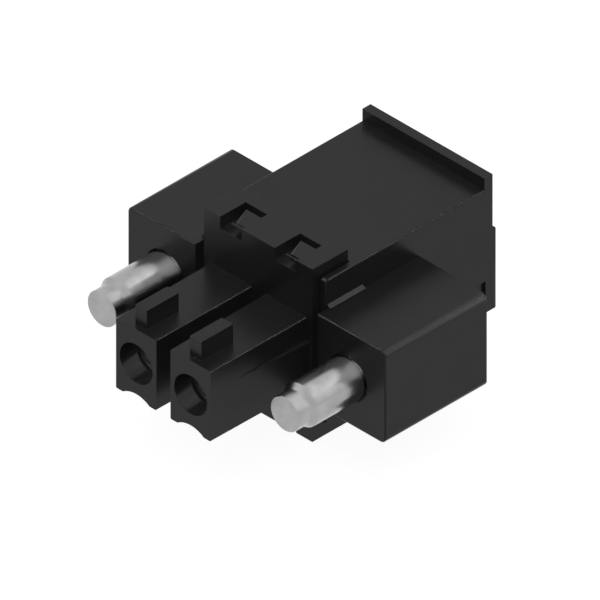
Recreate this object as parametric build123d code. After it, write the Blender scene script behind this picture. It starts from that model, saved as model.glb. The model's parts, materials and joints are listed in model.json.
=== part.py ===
from build123d import *
import os
from math import atan, cos, degrees, radians, sin, tan

# A two-pole female plug for a 3.81 mm board header, with a captive screw in a flange at each side.
# X runs across the poles, +Y towards the wires, +Z up. The origin is under the middle of the plug.
# Inside the functions Y is counted from the front face of the head; head_y moves each piece to its place.

# Poles
poles = 2
pitch = 3.81

# Head and carrier
head_side = 1.885             # from the last pole to the side of the head
head_height = 10.42
head_plate_depth = 2.49       # raised plate on top of the head, front to back
latch_pocket_width = 1.50
latch_pocket_depth = 1.79
latch_pocket_drop = 0.73
latch_slot = 0.42             # slot behind the latch tongue
latch_slot_drop = 2.00
latch_tongue_setback = 0.22
latch_tongue_front_inset = 0.69   # from the pocket's left wall, at the tongue's tip
latch_tongue_back_inset = 0.46
latch_tongue_front_round = 0.38   # rounding of its left edge, which runs out towards the back
latch_tongue_back_round = 0.02
latch_tongue_corner = 0.35
latch_tongue_thickness = 0.42
latch_bar_inset = 0.78
latch_bar_size = 0.09
core_gap = 0.12               # between the carrier and the sides of the rear housing
core_top_gap = 0.03
floor_relief_depth = 1.20
floor_relief_width = 2.60
floor_relief_margin = 1.00
floor_relief_corner = 0.30

# Chimneys
chimney_length = 6.624
chimney_width = 2.83
chimney_bottom = 3.06
chimney_top = 7.27
chimney_draft = 0.055         # growth of each side from tip to root
chimney_edge = 0.06
groove_chord = 1.86
groove_rise = 0.30
lug_width = 0.80
lug_length = 2.23
lug_height = 1.13
lug_setback = 0.35
rib_bottom = 4.27
rib_top = 5.95
rib_reach = 0.32
rib_length = 5.00

# Contact passage
contact_z = 5.20
entry_radius = 1.15
entry_depth = 1.15
guide_radius = 0.80
guide_length = 0.30
guide_lead = 0.08
passage_radius = 0.97
passage_back = 2.20

# Clamp chamber
chamber_width = 2.90
chamber_front = 3.00
chamber_back = 9.50
throat_width = 1.90
throat_rise = 0.40            # above the contact's axis

# Rear housing
hood_side = 2.365             # from the last pole to the outside of the hood
hood_drop = 0.69              # from the head's top to the hood's top
hood_roof = 0.46
hood_front = 0.49
hood_skirt_bottom = 4.19
hood_edge = 0.08
hood_front_round = 0.16
back_face = 12.13
back_wall = 0.49
ridge_depth = 0.57
collar_proud = 0.304
collar_bottom = 2.28
collar_top = 7.01
collar_edge = 0.15
nose_front = 0.56
nose_back = 3.05
nose_reach = 0.21
nose_slope = 0.16
nose_land = 0.06
nose_gap = 0.03

# Wire entries
wire_z = 4.62
wire_to_bar = 0.77            # from the wire's axis down to the current bar
wire_hole_radius = 1.45
wire_hole_lead = 0.15
wire_hole_depth = 2.00
wire_bore_radius = 1.00
wire_cone = 0.60

# Flange blocks
flange_side = 7.10            # from the last pole to the outside of the flange
flange_front = -0.113
flange_back = 6.995
flange_bottom = 2.47
flange_top = 8.02
flange_long_edge = 0.36
flange_front_edge = 0.08
foot_bottom = 1.10
foot_gap = 0.03
rail_inset = 0.16             # from the hood's side to the foot's rail behind the block
rail_gap = 0.03               # between the rail's end and the collar that locks it
tongue_front = 1.60
tongue_depth = 0.80
tongue_neck = 0.90
tongue_foot = 1.50
tongue_z = 2.15
tongue_gap = 0.04

# Flange screws
screw_side = 4.50             # from the last pole to the screw's axis
screw_z = 5.23
shank_radius = 1.225
shank_reach = 3.39
shank_chamfer = 0.34
point_radius = 1.00
point_reach = 4.55
point_edge = 0.04
neck_radius = 0.95
screw_head_radius = 1.75
screw_head_height = 1.70
screw_head_edge = 0.12
screw_slot_width = 0.60
screw_slot_depth = 0.85
screw_head_setback = 0.25
shank_gap = 0.10
mouth_depth = 0.60            # wide mouth of the hole, in front of its narrow guide
neck_gap = 0.08
head_gap = 0.10
end_play = 0.06

# Socket contacts and current bars
socket_radius = 0.80
socket_bore = 0.52
socket_front = 0.12           # behind the guide web
socket_length = 5.80
socket_slot = 0.24
socket_slot_length = 3.60
socket_lead = 0.14
socket_base_radius = 0.90
socket_base_length = 2.00
bar_thickness = 0.50
bar_width = 2.30
bar_neck_width = 1.60
bar_length = 5.60
bar_lift = 0.05               # between the chamber's floor and the bar
bar_front_gap = 0.10          # between the chamber's front wall and the bar's shoulders
bar_fall_length = 0.95

# Contact springs
band_thickness = 0.10
band_front = 1.30             # from the tip of the socket
band_length = 1.40
band_slot = 0.50
band_gap = 0.02

# Clamp springs
spring_thickness = 0.25
spring_width = 2.00
spring_front_gap = 0.10
spring_roof_gap = 0.08
spring_corner = 0.45
spring_bend_radius = 0.55
spring_bend_y = 6.30
spring_lean = 29.0            # degrees between the clamping leg and upright
spring_seat_gap = 0.03

# Release buttons
button_width = 2.20
button_height = 1.60
button_front = 8.30
button_recess = 0.034         # behind the collar's rear face
button_top_gap = 0.33         # under the roof of its channel
button_collar_width = 2.70
button_collar_back = 11.55
button_gap = 0.08
button_edge = 0.12
button_slot_width = 0.60
button_slot_depth = 0.35
finger_depth = 1.00
finger_drop = 0.11            # from the pusher's underside to the finger's top
finger_tip_gap = 0.06
finger_back_gap = 0.12
finger_edge = 0.20

overlap = 0.10                # how far joined bodies run into each other


# Places worked out from the sizes above
last_pole = pitch * (poles - 1) / 2
pole_places = [pitch * i - last_pole for i in range(poles)]
head_half = last_pole + head_side
hood_half = last_pole + hood_side
flange_half = last_pole + flange_side
screw_x = last_pole + screw_side
hood_inner = head_half + core_gap
hood_top = head_height - hood_drop
roof_inner = hood_top - hood_roof
core_top = roof_inner - core_top_gap
core_back = back_face - back_wall
collar_face = back_face + collar_proud
overall_length = chimney_length + collar_face
head_y = chimney_length - overall_length / 2
guide_front = entry_depth - chimney_length
guide_back = guide_front + guide_length
bar_top = wire_z - wire_to_bar
chamber_floor = bar_top - bar_thickness - bar_lift
button_top = core_top - button_top_gap
button_bottom = button_top - button_height
button_floor = button_bottom - button_gap
finger_top = button_bottom - finger_drop
finger_bottom = finger_top - finger_depth
socket_tip = guide_back + socket_front
socket_back = socket_tip + socket_length
lean = radians(spring_lean)
spring_top = core_top - spring_roof_gap - spring_thickness / 2
spring_bend_z = spring_top - spring_bend_radius
leg_y = spring_bend_y + spring_bend_radius * cos(lean)
leg_z = spring_bend_z - spring_bend_radius * sin(lean)


def rect(x_low, x_high, y_low, y_high):
    """A rectangle between two corners of its sketch plane."""
    middle = Pos((x_low + x_high) / 2, (y_low + y_high) / 2)
    return middle * Rectangle(x_high - x_low, y_high - y_low)


def polygon(points):
    return make_face(Polyline(*points, close=True))


def across(side_view, x_low, x_high):
    """A side view, drawn in Y and Z, carried across from x_low to x_high."""
    return extrude(Plane.YZ.offset(x_low) * side_view, amount=x_high - x_low)


def back_to(front_view, y_low, y_high):
    """A front view, drawn in X and Z, carried back from y_low to y_high."""
    return extrude(Plane.XZ.offset(-y_low) * front_view, amount=y_low - y_high)


def up_to(plan, z_low, z_high):
    return extrude(Plane.XY.offset(z_low) * plan, amount=z_high - z_low)


def turned(outline, x, z):
    """A profile of radius and Y, turned about an axis along Y at x and z."""
    half = make_face(Polyline(*outline, close=True))
    return Pos(x, 0, z) * revolve(half, axis=Axis.Y)


def edges_at(solid, axis, place, along):
    """The straight edges of a solid that run along one axis and lie at a place on another."""
    spot = {Axis.X: lambda e: e.center().X, Axis.Y: lambda e: e.center().Y, Axis.Z: lambda e: e.center().Z}
    return solid.edges().filter_by(along).filter_by(lambda e: abs(spot[axis](e) - place) < 0.001)


# Contact carrier

def chimney(x):
    """One square contact chimney, with its coding lug and the hollow along its underside."""
    section = rect(-chimney_width / 2, chimney_width / 2, chimney_bottom, chimney_top)
    section = chamfer(section.vertices(), chimney_edge)
    draft_angle = degrees(atan(chimney_draft / chimney_length))
    front = Plane.XZ.offset(chimney_length) * section
    body = extrude(front, amount=-chimney_length, taper=-draft_angle)
    groove_radius = ((groove_chord / 2) ** 2 + groove_rise ** 2) / (2 * groove_rise)
    groove = Pos(0, chimney_bottom + groove_rise - groove_radius) * Circle(groove_radius)
    body -= back_to(groove, -chimney_length, 0)
    lug_front = lug_setback - chimney_length
    lug = rect(-lug_width / 2, lug_width / 2, chimney_top - lug_height, chimney_top + lug_height)
    body += back_to(lug, lug_front, lug_front + lug_length)
    return Pos(x, 0, 0) * body


def side_rib():
    """The wedge on the outer side of the last chimney."""
    flank = chimney_width / 2
    root = flank + chimney_draft
    plan = polygon([(0, -rib_length), (flank, -rib_length), (root + rib_reach - chimney_draft, 0), (0, 0)])
    return Pos(last_pole, 0, 0) * up_to(plan, rib_bottom, rib_top)


def contact_passage(x):
    """The stepped round way for a header pin, from the chimney's mouth to the clamp chamber."""
    steps = [
        (0, -chimney_length - 1),
        (entry_radius, -chimney_length - 1),
        (entry_radius, guide_front),
        (guide_radius + guide_lead, guide_front),
        (guide_radius, guide_front + guide_lead),
        (guide_radius, guide_back),
        (passage_radius, guide_back),
        (passage_radius, passage_back),
        (0, passage_back),
    ]
    throat = rect(x - throat_width / 2, x + throat_width / 2, chamber_floor, contact_z + throat_rise)
    return turned(steps, x, contact_z) + back_to(throat, passage_back - 1, chamber_front + overlap)


def clamp_chamber(x):
    """The room for the clamp, open at the top, with the button's channel and the wire's way behind it."""
    side_view = polygon([
        (chamber_front, chamber_floor),
        (chamber_back, chamber_floor),
        (chamber_back, button_floor),
        (core_back + 1, button_floor),
        (core_back + 1, core_top + 1),
        (chamber_front, core_top + 1),
    ])
    room = across(side_view, x - chamber_width / 2, x + chamber_width / 2)
    cone_front = collar_face - wire_hole_depth - wire_cone
    wire_way = [
        (0, chamber_back - 1),
        (wire_bore_radius, chamber_back - 1),
        (wire_bore_radius, cone_front),
        (wire_hole_radius, cone_front + wire_cone),
        (wire_hole_radius, core_back + 1),
        (0, core_back + 1),
    ]
    return room + turned(wire_way, x, wire_z)


def latch_tongue(x):
    """The springy tongue in a latch pocket. Its left edge is round at the front and sharp at the back."""
    wall = x - latch_pocket_width / 2
    right = x + latch_pocket_width / 2
    front = latch_tongue_setback
    back = latch_pocket_depth - latch_slot
    front_left = wall + latch_tongue_front_inset
    back_left = wall + latch_tongue_back_inset
    sections = []
    for y, left, edge in (
        (front, front_left, latch_tongue_front_round),
        (back, back_left, latch_tongue_back_round),
    ):
        section = rect(left, right, head_height - latch_tongue_thickness, head_height)
        corner = section.vertices().group_by(Axis.Y)[-1].sort_by(Axis.X)[0]
        sections.append(Plane.XZ.offset(-y) * fillet(corner, edge))
    plan = polygon([(front_left, front), (right, front), (right, back), (back_left, back)])
    plan = fillet(plan.vertices().group_by(Axis.Y)[0].sort_by(Axis.X)[0], latch_tongue_corner)
    return loft(sections, ruled=True) & up_to(plan, 0, head_height)


def latch_pocket(x):
    """The pocket in the head's top over one pole, round its tongue and the thin bar in front of it."""
    left = x - latch_pocket_width / 2
    right = x + latch_pocket_width / 2
    pocket = up_to(rect(left, right, -1, latch_pocket_depth), head_height - latch_pocket_drop, head_height + 1)
    slot = rect(left, right, latch_pocket_depth - latch_slot, latch_pocket_depth)
    pocket += up_to(slot, head_height - latch_slot_drop, head_height)
    bar = rect(left + latch_bar_inset, right, 0, latch_bar_size)
    pocket -= up_to(bar, head_height - latch_bar_size, head_height)
    return pocket - latch_tongue(x)


def floor_pocket(x):
    """The shallow notch under the head, open to the front, that matches the one on top."""
    plan = rect(x - latch_pocket_width / 2, x + latch_pocket_width / 2, -1, latch_pocket_depth)
    return up_to(plan, -1, latch_pocket_drop / 2)


def floor_relief(x):
    """The hollow under the core that keeps its floor an even thickness."""
    plan = rect(
        x - floor_relief_width / 2,
        x + floor_relief_width / 2,
        head_plate_depth + floor_relief_margin,
        core_back - floor_relief_margin,
    )
    return up_to(fillet(plan.vertices(), floor_relief_corner), -1, floor_relief_depth)


def tongue_section(gap):
    """The dovetail that holds a flange block, drawn in X and Z at the right side."""
    neck = tongue_neck / 2 + gap
    foot = tongue_foot / 2 + gap
    deep = head_half - tongue_depth - gap
    return polygon([
        (head_half + overlap, tongue_z - neck),
        (deep, tongue_z - foot),
        (deep, tongue_z + foot),
        (head_half + overlap, tongue_z + neck),
    ])


def contact_carrier():
    side_view = polygon([
        (0, 0),
        (core_back, 0),
        (core_back, core_top),
        (head_plate_depth, core_top),
        (head_plate_depth, head_height),
        (0, head_height),
    ])
    body = across(side_view, -head_half, head_half)
    rib = side_rib()
    body += [chimney(x) for x in pole_places]
    body += rib
    body += mirror(rib, about=Plane.YZ)
    for x in pole_places:
        body -= clamp_chamber(x)
        body -= contact_passage(x)
        body -= latch_pocket(x)
        body -= floor_pocket(x)
        body -= floor_relief(x)
    slot = back_to(tongue_section(tongue_gap), tongue_front - tongue_gap, core_back + 1)
    body -= slot
    body -= mirror(slot, about=Plane.YZ)
    return body


# Rear housing

def side_nose():
    """The small nose over the right flange block."""
    low = flange_top + nose_gap
    front_view = polygon([
        (hood_half - overlap, low),
        (hood_half + nose_reach, low),
        (hood_half + nose_reach, low + nose_land),
        (hood_half, low + nose_land + nose_slope),
        (hood_half - overlap, low + nose_land + nose_slope),
    ])
    return back_to(front_view, nose_front, nose_back)


def rear_housing():
    side_view = polygon([
        (hood_front, hood_skirt_bottom),
        (core_back, hood_skirt_bottom),
        (core_back, collar_bottom),
        (collar_face, collar_bottom),
        (collar_face, collar_top),
        (back_face, collar_top),
        (back_face, head_height),
        (back_face - ridge_depth, head_height),
        (back_face - ridge_depth, hood_top),
        (hood_front, hood_top),
    ])
    corner = side_view.vertices().sort_by(Axis.X)[:2].sort_by(Axis.Y)[-1]
    body = across(fillet(corner, hood_front_round), -hood_half, hood_half)
    collar_edges = edges_at(body, Axis.Y, collar_face, Axis.X) + edges_at(body, Axis.Y, collar_face, Axis.Z)
    body = fillet(collar_edges.filter_by(lambda e: e.center().Z < collar_top - overlap), collar_edge)
    body = fillet(edges_at(body, Axis.Z, hood_top, Axis.Y), hood_edge)
    hollow = rect(-hood_inner, hood_inner, 0, roof_inner)
    body -= back_to(hollow, -1, core_back)
    window = rect(-hood_inner, hood_inner, 0, hood_top + 1)
    body -= back_to(window, -1, head_plate_depth + core_top_gap)
    nose = side_nose()
    body += nose
    body += mirror(nose, about=Plane.YZ)
    button_z = (button_bottom + button_top) / 2
    for x in pole_places:
        lead_front = collar_face - wire_hole_lead
        hole = [
            (0, core_back - 1),
            (wire_hole_radius, core_back - 1),
            (wire_hole_radius, lead_front),
            (wire_hole_radius + wire_hole_lead + overlap, collar_face + overlap),
            (0, collar_face + overlap),
        ]
        body -= turned(hole, x, wire_z)
        opening = Rectangle(button_width + 2 * button_gap, button_height + 2 * button_gap)
        body -= back_to(Pos(x, button_z) * opening, core_back - 1, back_face + 1)
    return body


# Flange blocks and their screws

def screw_hole():
    """The stepped hole for a captive screw: wide at the front, a narrow guide, and a pocket for the head."""
    head_floor = flange_back - screw_head_setback - screw_head_height - end_play
    steps = [
        (0, flange_front - 1),
        (shank_radius + shank_gap, flange_front - 1),
        (shank_radius + shank_gap, flange_front + mouth_depth),
        (neck_radius + neck_gap, flange_front + mouth_depth),
        (neck_radius + neck_gap, head_floor),
        (screw_head_radius + head_gap, head_floor),
        (screw_head_radius + head_gap, flange_back + 1),
        (0, flange_back + 1),
    ]
    return turned(steps, screw_x, screw_z)


def flange_block():
    """The right flange block. Its foot, rail and dovetail slide along the carrier from behind."""
    section = rect(hood_half, flange_half, flange_bottom, flange_top)
    outer = section.vertices().filter_by(lambda v: v.X > flange_half - 0.001)
    section = fillet(outer, flange_long_edge)
    body = back_to(section, flange_front, flange_back)
    front_edges = body.edges().group_by(Axis.Y)[0]
    body = fillet(front_edges.filter_by(lambda e: e.center().X > hood_half + overlap), flange_front_edge)
    foot = rect(head_half + foot_gap, hood_half + overlap, foot_bottom, hood_skirt_bottom - foot_gap)
    foot_outer = rect(hood_half, hood_half + overlap, foot_bottom, flange_bottom - foot_gap)
    body += back_to(foot - foot_outer, hood_front, flange_back)
    rail = rect(head_half + foot_gap, hood_half - rail_inset, foot_bottom, hood_skirt_bottom - foot_gap)
    body += back_to(rail, hood_front, core_back - rail_gap)
    body += back_to(tongue_section(0), tongue_front, flange_back)
    return body - screw_hole()


def flange_screw():
    """The right captive screw: dog point, plain shank, thin neck and slotted head."""
    head_back = flange_back - screw_head_setback
    head_front = head_back - screw_head_height
    profile = [
        (0, -point_reach),
        (point_radius - point_edge, -point_reach),
        (point_radius, point_edge - point_reach),
        (point_radius, -shank_reach - shank_chamfer),
        (shank_radius, -shank_reach),
        (shank_radius, flange_front),
        (neck_radius, flange_front),
        (neck_radius, head_front),
        (screw_head_radius, head_front),
        (screw_head_radius, head_back - screw_head_edge),
        (screw_head_radius - screw_head_edge, head_back),
        (0, head_back),
    ]
    body = turned(profile, screw_x, screw_z)
    slot = Pos(screw_x, screw_z) * Rectangle(2 * screw_head_radius + 1, screw_slot_width)
    return body - back_to(slot, head_back - screw_slot_depth, head_back + 1)


# Contacts, springs and buttons

def terminal(x):
    """A split round socket whose tail drops to the flat bar under the wire."""
    base_front = socket_back - socket_base_length
    outline = [
        (socket_bore + socket_lead, socket_tip),
        (socket_radius, socket_tip),
        (socket_radius, base_front),
        (socket_base_radius, base_front),
        (socket_base_radius, socket_back),
        (0, socket_back),
        (0, socket_back - socket_base_length / 2),
        (socket_bore, socket_back - socket_base_length / 2),
        (socket_bore, socket_tip + socket_lead),
    ]
    body = turned(outline, 0, contact_z)
    for turn in (0, 90):
        cut = Pos(0, contact_z) * Rot(0, 0, turn) * Rectangle(socket_slot, 2 * socket_radius + 1)
        body -= back_to(cut, socket_tip - 1, socket_tip + socket_slot_length)
    half = bar_thickness / 2
    level = bar_top - half
    bar_front = chamber_front + bar_front_gap
    landing = chamber_front - bar_front_gap
    start = (socket_back - half, contact_z)
    route = Polyline(start, (landing - bar_fall_length, contact_z), (landing, level), (bar_front + half, level))
    neck = trace(route, line_width=bar_thickness)
    body += across(neck, -bar_neck_width / 2, bar_neck_width / 2)
    flat = rect(bar_front, bar_front + bar_length, bar_top - bar_thickness, bar_top)
    body += across(flat, -bar_width / 2, bar_width / 2)
    return Pos(x, 0, 0) * body


def contact_spring(x):
    """A slit steel band that presses the tines of a socket together."""
    inner = socket_radius + band_gap
    band = Circle(inner + band_thickness) - Circle(inner)
    band -= Pos(0, inner) * Rectangle(band_slot, inner)
    front = socket_tip + band_front
    return back_to(Pos(x, contact_z) * band, front, front + band_length)


def clamp_spring(x):
    """A bent leaf: front leg on the bar, top leg under the roof, and a clamping leg that leans on the bar."""
    half = spring_thickness / 2
    front = chamber_front + spring_front_gap + half
    foot = bar_top + spring_seat_gap
    leg = (leg_z - foot - half) / cos(lean)
    tip = (leg_y - leg * sin(lean), leg_z - leg * cos(lean))
    corner = CenterArc((front + spring_corner, spring_top - spring_corner), spring_corner, 180, -90)
    bow = CenterArc((spring_bend_y, spring_bend_z), spring_bend_radius, 90, -90 - spring_lean)
    path = Line((front, foot), corner @ 0) + corner + Line(corner @ 1, bow @ 0) + bow + Line(bow @ 1, tip)
    leaf = trace(path, line_width=spring_thickness)
    return across(leaf, x - spring_width / 2, x + spring_width / 2)


def release_button(x):
    """A pusher with a captive collar, and a finger that reaches the clamping leg."""
    face = collar_face - button_recess
    leg_back = leg_y - (leg_z - finger_top) * tan(lean) + spring_thickness / 2 / cos(lean)
    tip = leg_back + finger_tip_gap
    back = chamber_back - finger_back_gap
    side_view = polygon([
        (tip + finger_edge, finger_bottom),
        (back, finger_bottom),
        (back, button_bottom),
        (button_collar_back, button_bottom),
        (button_collar_back, button_top),
        (button_front, button_top),
        (button_front, finger_top),
        (tip, finger_top),
        (tip, finger_bottom + finger_edge),
    ])
    body = across(side_view, -button_collar_width / 2, button_collar_width / 2)
    middle = Pos(0, (button_bottom + button_top) / 2)
    push = back_to(middle * Rectangle(button_width, button_height), button_collar_back - 1, face)
    body += fillet(push.edges().group_by(Axis.Y)[-1], button_edge)
    slot = middle * Rectangle(button_width + 1, button_slot_width)
    body -= back_to(slot, face - button_slot_depth, face + 1)
    return Pos(x, 0, 0) * body


def all_nodes():
    nodes = {
        "contact_carrier": contact_carrier(),
        "rear_housing": rear_housing(),
        "flange_block_right": flange_block(),
        "flange_screw_right": flange_screw(),
    }
    nodes["flange_block_left"] = mirror(nodes["flange_block_right"], about=Plane.YZ)
    nodes["flange_screw_left"] = mirror(nodes["flange_screw_right"], about=Plane.YZ)
    for number, x in enumerate(pole_places, start=1):
        nodes[f"terminal_{number}"] = terminal(x)
        nodes[f"contact_spring_{number}"] = contact_spring(x)
        nodes[f"clamp_spring_{number}"] = clamp_spring(x)
        nodes[f"release_button_{number}"] = release_button(x)
    return nodes


os.makedirs("parts", exist_ok=True)
for name, solid in all_nodes().items():
    export_step(Pos(0, head_y, 0) * solid, f"parts/{name}.step")
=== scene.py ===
import json
import math
from typing import NamedTuple
import bpy
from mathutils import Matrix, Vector


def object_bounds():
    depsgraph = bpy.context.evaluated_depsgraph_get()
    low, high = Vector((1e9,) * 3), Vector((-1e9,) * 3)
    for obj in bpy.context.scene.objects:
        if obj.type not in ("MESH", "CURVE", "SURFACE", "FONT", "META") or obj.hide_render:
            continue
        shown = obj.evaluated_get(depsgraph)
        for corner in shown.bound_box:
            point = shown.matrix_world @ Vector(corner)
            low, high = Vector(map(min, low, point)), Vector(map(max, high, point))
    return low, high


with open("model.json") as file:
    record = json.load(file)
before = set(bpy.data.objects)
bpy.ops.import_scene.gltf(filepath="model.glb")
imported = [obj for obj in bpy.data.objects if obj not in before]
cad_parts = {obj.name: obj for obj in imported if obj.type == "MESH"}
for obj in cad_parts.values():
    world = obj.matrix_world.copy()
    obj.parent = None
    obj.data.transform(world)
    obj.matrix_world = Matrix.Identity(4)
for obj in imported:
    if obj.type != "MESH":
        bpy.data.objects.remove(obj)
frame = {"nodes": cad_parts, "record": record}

# Looks for a two-pole board plug: black moulded housings, plated captive screws, tinned contacts.
# Everything is in metres in the frame of the CAD model. MM turns millimetres into metres.

MM = 0.001
cad_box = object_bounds()
nodes = frame["nodes"]
subparts = frame["record"]["subparts"]
scene = bpy.context.scene
scene.view_settings.view_transform = "Standard"


class Noise(NamedTuple):
    """A noise pattern: cycles per millimetre, octaves of detail, and density along X, Y and Z."""

    per_mm: float
    detail: float = 3.0
    density: tuple = (1, 1, 1)


class Relief(NamedTuple):
    """How strongly a pattern shows as relief, and how high it stands."""

    strength: float
    height: float


# Camera
VIEW_AZIMUTH = math.radians(45.0)
VIEW_ELEVATION = math.radians(35.0)
VIEW_DISTANCE = 200 * MM
VIEW_WIDTH = 29.67 * MM
VIEW_TARGET = Vector((0, 0.024 * MM, 5.257 * MM))
VIEW_NEAR = 1 * MM
VIEW_FAR = 10.0

# Faces and edges
PLASTIC_EDGE = 0.012 * MM
EDGE_STEPS = 2
JOIN_DISTANCE = 0.0001 * MM
SHARP_ANGLE = math.radians(50.0)
FLAT_ANGLE = math.radians(1.0)

# Colours, linear
PLASTIC_DARK = (0.0035, 0.0035, 0.0037, 1)
PLASTIC_LIGHT = (0.0050, 0.0050, 0.0052, 1)
NICKEL_DARK = (0.33, 0.33, 0.33, 1)
NICKEL_LIGHT = (0.39, 0.39, 0.39, 1)
TIN_DARK = (0.50, 0.50, 0.49, 1)
TIN_LIGHT = (0.70, 0.70, 0.69, 1)
STEEL_DARK = (0.38, 0.38, 0.39, 1)
STEEL_LIGHT = (0.55, 0.55, 0.56, 1)

# Finish: the lowest and highest roughness of each slot, and the gloss of the plastics
ROUGHNESS = {
    "carrier_plastic": (0.28, 0.33),
    "hood_plastic": (0.29, 0.34),
    "flange_plastic": (0.30, 0.35),
    "button_plastic": (0.26, 0.31),
    "screw_steel": (0.20, 0.26),
    "tinned_copper": (0.30, 0.42),
    "spring_steel": (0.24, 0.34),
}
METAL_SLOTS = ("screw_steel", "tinned_copper", "spring_steel")
PLASTIC_GLOSS = 0.165

# Patterns: a colour or a roughness is at its low end where the noise is below NOISE_LOW,
# and at its high end where the noise is above NOISE_HIGH
NOISE_LOW = 0.3
NOISE_HIGH = 0.7
PLASTIC_CLOUDS = Noise(per_mm=0.55)
PLASTIC_GRAIN = Noise(per_mm=16.0, detail=2.0)
PLASTIC_FLOW = Noise(per_mm=1.4, density=(1, 0.3, 1))
NICKEL_CLOUDS = Noise(per_mm=1.2)
TURNING_LINES = Noise(per_mm=3.0, detail=2.0, density=(0.05, 9.0, 0.05))
STRIP_CLOUDS = Noise(per_mm=1.6, detail=4.0)
TIN_LINES = Noise(per_mm=4.0, density=(4.0, 0.4, 4.0))
STEEL_LINES = Noise(per_mm=4.0, density=(6.0, 0.5, 0.5))
CLOUD_RELIEF = Relief(strength=0.10, height=0.02 * MM)
GRAIN_RELIEF = Relief(strength=0.12, height=0.004 * MM)
TURNING_RELIEF = Relief(strength=0.04, height=0.003 * MM)
STRIP_RELIEF = Relief(strength=0.20, height=0.004 * MM)

# Room: the floor and the sky are brighter where they are seen than where they light the object
WHITE = (1, 1, 1, 1)
FLOOR_REACH = 1.5
FLOOR_GAP = 0.01 * MM
FLOOR_COLOUR = (0.80, 0.80, 0.80, 1)
FLOOR_SEEN_COLOUR = (0.45, 0.45, 0.45, 1)
FLOOR_SEEN_GLOW = 0.92
SKY_STRENGTH = 0.30
SKY_SEEN_STRENGTH = 1.0

# Lamps: turn is the angle from the camera's side, and brightness is on the scale of the sky's
# strength, before a spread narrows the lamp
LAMP_DISTANCE = 0.50
PLASTIC_LAMP_TURN = math.radians(90.0)
PLASTIC_LAMP_RISE = math.radians(35.0)
PLASTIC_LAMP_SIZE = 0.90
PLASTIC_LAMP = 2.2
METAL_LAMP_TURN = math.radians(102.0)
METAL_LAMP_RISE = math.radians(47.0)
METAL_LAMP_SIZE = 0.84
METAL_LAMP_SPREAD = math.radians(80.0)
METAL_LAMP_LEFT = 0.05
METAL_LAMP_RIGHT = 0.125


class Graph:
    """Adds shader nodes to a material or to the world, and links them."""

    def __init__(self, owner):
        owner.use_nodes = True
        self.owner = owner
        self.tree = owner.node_tree

    def add(self, kind, **inputs):
        """A new node with these inputs, where To_Min stands for To Min."""
        node = self.tree.nodes.new(kind)
        for name, value in inputs.items():
            node.inputs[name.replace("_", " ")].default_value = value
        return node

    def link(self, source, target):
        self.tree.links.new(source, target)

    def noise(self, pattern):
        """Noise over the object's own coordinates in millimetres."""
        coordinates = self.add("ShaderNodeTexCoord")
        mapping = self.add("ShaderNodeMapping", Scale=[v / MM for v in pattern.density])
        node = self.add("ShaderNodeTexNoise", Scale=pattern.per_mm, Detail=pattern.detail)
        self.link(coordinates.outputs["Object"], mapping.inputs["Vector"])
        self.link(mapping.outputs["Vector"], node.inputs["Vector"])
        return node.outputs["Fac"]

    def between(self, noise, low, high):
        """A value from low to high, as the noise goes."""
        node = self.add(
            "ShaderNodeMapRange", From_Min=NOISE_LOW, From_Max=NOISE_HIGH, To_Min=low, To_Max=high
        )
        self.link(noise, node.inputs["Value"])
        return node.outputs["Result"]

    def ramp(self, noise, dark, light):
        """A colour from dark to light, as the noise goes."""
        node = self.add("ShaderNodeValToRGB")
        first, last = node.color_ramp.elements
        first.position = NOISE_LOW
        first.color = dark
        last.position = NOISE_HIGH
        last.color = light
        self.link(noise, node.inputs["Fac"])
        return node.outputs["Color"]

    def bump(self, noise, relief, under=None):
        """The surface normal with this relief, on top of another one where under is given."""
        node = self.add("ShaderNodeBump", Strength=relief.strength, Distance=relief.height)
        self.link(noise, node.inputs["Height"])
        if under is not None:
            self.link(under, node.inputs["Normal"])
        return node.outputs["Normal"]

    def seen_directly(self):
        """1 for rays from the camera and from mirror-like or glass-like surfaces, 0 for all others."""
        path = self.add("ShaderNodeLightPath")
        total = path.outputs["Is Camera Ray"]
        for kind in ("Is Glossy Ray", "Is Transmission Ray"):
            both = self.add("ShaderNodeMath")
            both.operation = "ADD"
            both.use_clamp = True
            self.link(total, both.inputs[0])
            self.link(path.outputs[kind], both.inputs[1])
            total = both.outputs[0]
        return total

    def surface(self, colour, roughness, normal, **fixed):
        """Gives the material's own shader these links and fixed values, and returns the material."""
        shader = self.tree.nodes["Principled BSDF"]
        self.link(colour, shader.inputs["Base Color"])
        self.link(roughness, shader.inputs["Roughness"])
        self.link(normal, shader.inputs["Normal"])
        for name, value in fixed.items():
            shader.inputs[name.replace("_", " ")].default_value = value
        return self.owner


def plastic(slot):
    """Black moulded plastic with a fine eroded grain and faint flow marks."""
    g = Graph(bpy.data.materials.new(slot))
    clouds = g.noise(PLASTIC_CLOUDS)
    colour = g.ramp(clouds, PLASTIC_DARK, PLASTIC_LIGHT)
    roughness = g.between(g.noise(PLASTIC_FLOW), *ROUGHNESS[slot])
    swell = g.bump(clouds, CLOUD_RELIEF)
    normal = g.bump(g.noise(PLASTIC_GRAIN), GRAIN_RELIEF, under=swell)
    return g.surface(colour, roughness, normal, Specular_IOR_Level=PLASTIC_GLOSS)


def plated_screw(slot):
    """Nickel-plated steel with fine turning lines round the screw's axis."""
    g = Graph(bpy.data.materials.new(slot))
    lines = g.noise(TURNING_LINES)
    colour = g.ramp(g.noise(NICKEL_CLOUDS), NICKEL_DARK, NICKEL_LIGHT)
    roughness = g.between(lines, *ROUGHNESS[slot])
    return g.surface(colour, roughness, g.bump(lines, TURNING_RELIEF), Metallic=1.0)


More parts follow.
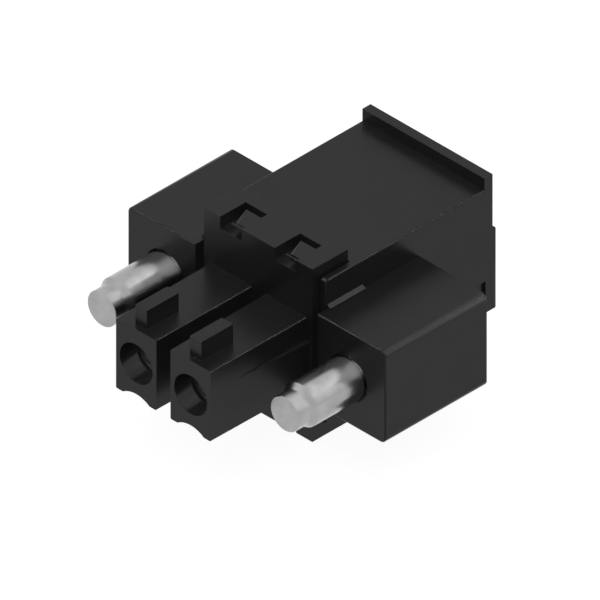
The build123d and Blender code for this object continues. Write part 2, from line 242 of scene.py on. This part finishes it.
def rolled_strip(slot, dark, light, rolling_lines):
    """Stamped strip with rolling lines along the strip and a mottled surface."""
    g = Graph(bpy.data.materials.new(slot))
    lines = g.noise(rolling_lines)
    colour = g.ramp(g.noise(STRIP_CLOUDS), dark, light)
    roughness = g.between(lines, *ROUGHNESS[slot])
    return g.surface(colour, roughness, g.bump(lines, STRIP_RELIEF), Metallic=1.0)


def slot_materials():
    """The material of each slot."""
    return {
        "carrier_plastic": plastic("carrier_plastic"),
        "hood_plastic": plastic("hood_plastic"),
        "flange_plastic": plastic("flange_plastic"),
        "button_plastic": plastic("button_plastic"),
        "screw_steel": plated_screw("screw_steel"),
        "tinned_copper": rolled_strip("tinned_copper", TIN_DARK, TIN_LIGHT, TIN_LINES),
        "spring_steel": rolled_strip("spring_steel", STEEL_DARK, STEEL_LIGHT, STEEL_LINES),
    }


def dress(node, material):
    """Gives a CAD piece its material."""
    node.data.materials.clear()
    node.data.materials.append(material)


def join_faces(node):
    """Joins the borders of a piece's CAD faces, so that its edges can be rounded."""
    joined = node.modifiers.new("joined_faces", "WELD")
    joined.merge_threshold = JOIN_DISTANCE


def merge_flat(node):
    """Turns the triangles of each flat surface into one face, which shades evenly."""
    flat = node.modifiers.new("flat_faces", "DECIMATE")
    flat.decimate_type = "DISSOLVE"
    flat.angle_limit = FLAT_ANGLE


def round_edges(node):
    """Rounds the sharp edges of a moulded piece a little, so that they catch the light."""
    rounding = node.modifiers.new("rounding", "BEVEL")
    rounding.width = PLASTIC_EDGE
    rounding.segments = EDGE_STEPS
    rounding.limit_method = "ANGLE"
    rounding.angle_limit = SHARP_ANGLE
    rounding.use_clamp_overlap = True
    rounding.harden_normals = True
    rounding.miter_outer = "MITER_ARC"
    shading = node.modifiers.new("shading", "WEIGHTED_NORMAL")
    shading.mode = "FACE_AREA"


def dress_all():
    """Gives every CAD piece its material and even faces, and the moulded pieces rounded edges."""
    materials = slot_materials()
    for part in subparts:
        node = nodes[part["node"]]
        moulded = part["material_slot"] not in METAL_SLOTS
        dress(node, materials[part["material_slot"]])
        if moulded:
            join_faces(node)
        merge_flat(node)
        if moulded:
            round_edges(node)


def direction(azimuth, rise):
    """The unit vector from the object at these angles. Azimuth turns from -Y towards +X."""
    flat = math.cos(rise)
    return Vector((flat * math.sin(azimuth), -flat * math.cos(azimuth), math.sin(rise)))


def stand(name, data, azimuth, rise, distance):
    """Puts a camera or lamp at these angles from the object, turned to look at it."""
    away = direction(azimuth, rise)
    item = bpy.data.objects.new(name, data)
    item.location = VIEW_TARGET + away * distance
    item.rotation_euler = (-away).to_track_quat("-Z", "Y").to_euler()
    scene.collection.objects.link(item)
    return item


def camera():
    """An orthographic camera at the photograph's viewing angle."""
    data = bpy.data.cameras.new("camera")
    data.type = "ORTHO"
    data.ortho_scale = VIEW_WIDTH
    data.clip_start = VIEW_NEAR
    data.clip_end = VIEW_FAR
    scene.camera = stand("camera", data, VIEW_AZIMUTH, VIEW_ELEVATION, VIEW_DISTANCE)


def floor_material():
    """White with a faint contact shadow where it is seen, and pale grey where it lights the object."""
    material = bpy.data.materials.new("studio_floor")
    g = Graph(material)
    g.tree.nodes.clear()
    plain = g.add("ShaderNodeBsdfDiffuse", Color=FLOOR_COLOUR)
    shadowed = g.add("ShaderNodeBsdfDiffuse", Color=FLOOR_SEEN_COLOUR)
    glow = g.add("ShaderNodeEmission", Strength=FLOOR_SEEN_GLOW)
    white = g.add("ShaderNodeAddShader")
    g.link(shadowed.outputs[0], white.inputs[0])
    g.link(glow.outputs[0], white.inputs[1])
    choice = g.add("ShaderNodeMixShader")
    g.link(g.seen_directly(), choice.inputs["Fac"])
    g.link(plain.outputs[0], choice.inputs[1])
    g.link(white.outputs[0], choice.inputs[2])
    output = g.add("ShaderNodeOutputMaterial")
    g.link(choice.outputs[0], output.inputs["Surface"])
    return material


def floor():
    """A wide floor just under the object."""
    data = bpy.data.meshes.new("studio_floor")
    reach = FLOOR_REACH
    corners = [(-reach, -reach, 0), (reach, -reach, 0), (reach, reach, 0), (-reach, reach, 0)]
    data.from_pydata(corners, [], [(0, 1, 2, 3)])
    data.materials.append(floor_material())
    item = bpy.data.objects.new("studio_floor", data)
    item.location.z = cad_box[0][2] - FLOOR_GAP
    scene.collection.objects.link(item)


def sky():
    """A white sky where it is seen, which gives the object weak light from all round."""
    world = bpy.data.worlds.new("studio")
    scene.world = world
    g = Graph(world)
    background = g.tree.nodes["Background"]
    background.inputs["Color"].default_value = WHITE
    strength = g.add("ShaderNodeMapRange", To_Min=SKY_STRENGTH, To_Max=SKY_SEEN_STRENGTH)
    g.link(g.seen_directly(), strength.inputs["Value"])
    g.link(strength.outputs["Result"], background.inputs["Strength"])


def pieces_of(metal):
    """A group of the metal pieces, or of all the others."""
    group = bpy.data.collections.new("metal_pieces" if metal else "plastic_pieces")
    for part in subparts:
        if (part["material_slot"] in METAL_SLOTS) == metal:
            group.objects.link(nodes[part["node"]])
    return group


def lamp(name, turn, rise, size, brightness, pieces):
    """A round lamp without shadows that lights the given pieces alone. Its power follows its size."""
    data = bpy.data.lights.new(name, "AREA")
    data.shape = "DISK"
    data.size = size
    data.energy = brightness * (math.pi * size / 2) ** 2
    data.use_shadow = False
    data.cycles.use_multiple_importance_sampling = False
    item = stand(name, data, VIEW_AZIMUTH + turn, rise, LAMP_DISTANCE)
    item.light_linking.receiver_collection = pieces
    return data


def plastic_lamps():
    """A soft lamp on each side of the camera for the moulded pieces."""
    pieces = pieces_of(metal=False)
    for side, turn in (("left", -PLASTIC_LAMP_TURN), ("right", PLASTIC_LAMP_TURN)):
        lamp(f"plastic_lamp_{side}", turn, PLASTIC_LAMP_RISE, PLASTIC_LAMP_SIZE, PLASTIC_LAMP, pieces)


def metal_lamps():
    """A lamp on each side for the metal pieces, narrowed so that its highlight fades to its edge."""
    pieces = pieces_of(metal=True)
    for side, turn, brightness in (
        ("left", -METAL_LAMP_TURN, METAL_LAMP_LEFT),
        ("right", METAL_LAMP_TURN, METAL_LAMP_RIGHT),
    ):
        data = lamp(f"metal_lamp_{side}", turn, METAL_LAMP_RISE, METAL_LAMP_SIZE, brightness, pieces)
        data.spread = METAL_LAMP_SPREAD


dress_all()
camera()
floor()
sky()
plastic_lamps()
metal_lamps()
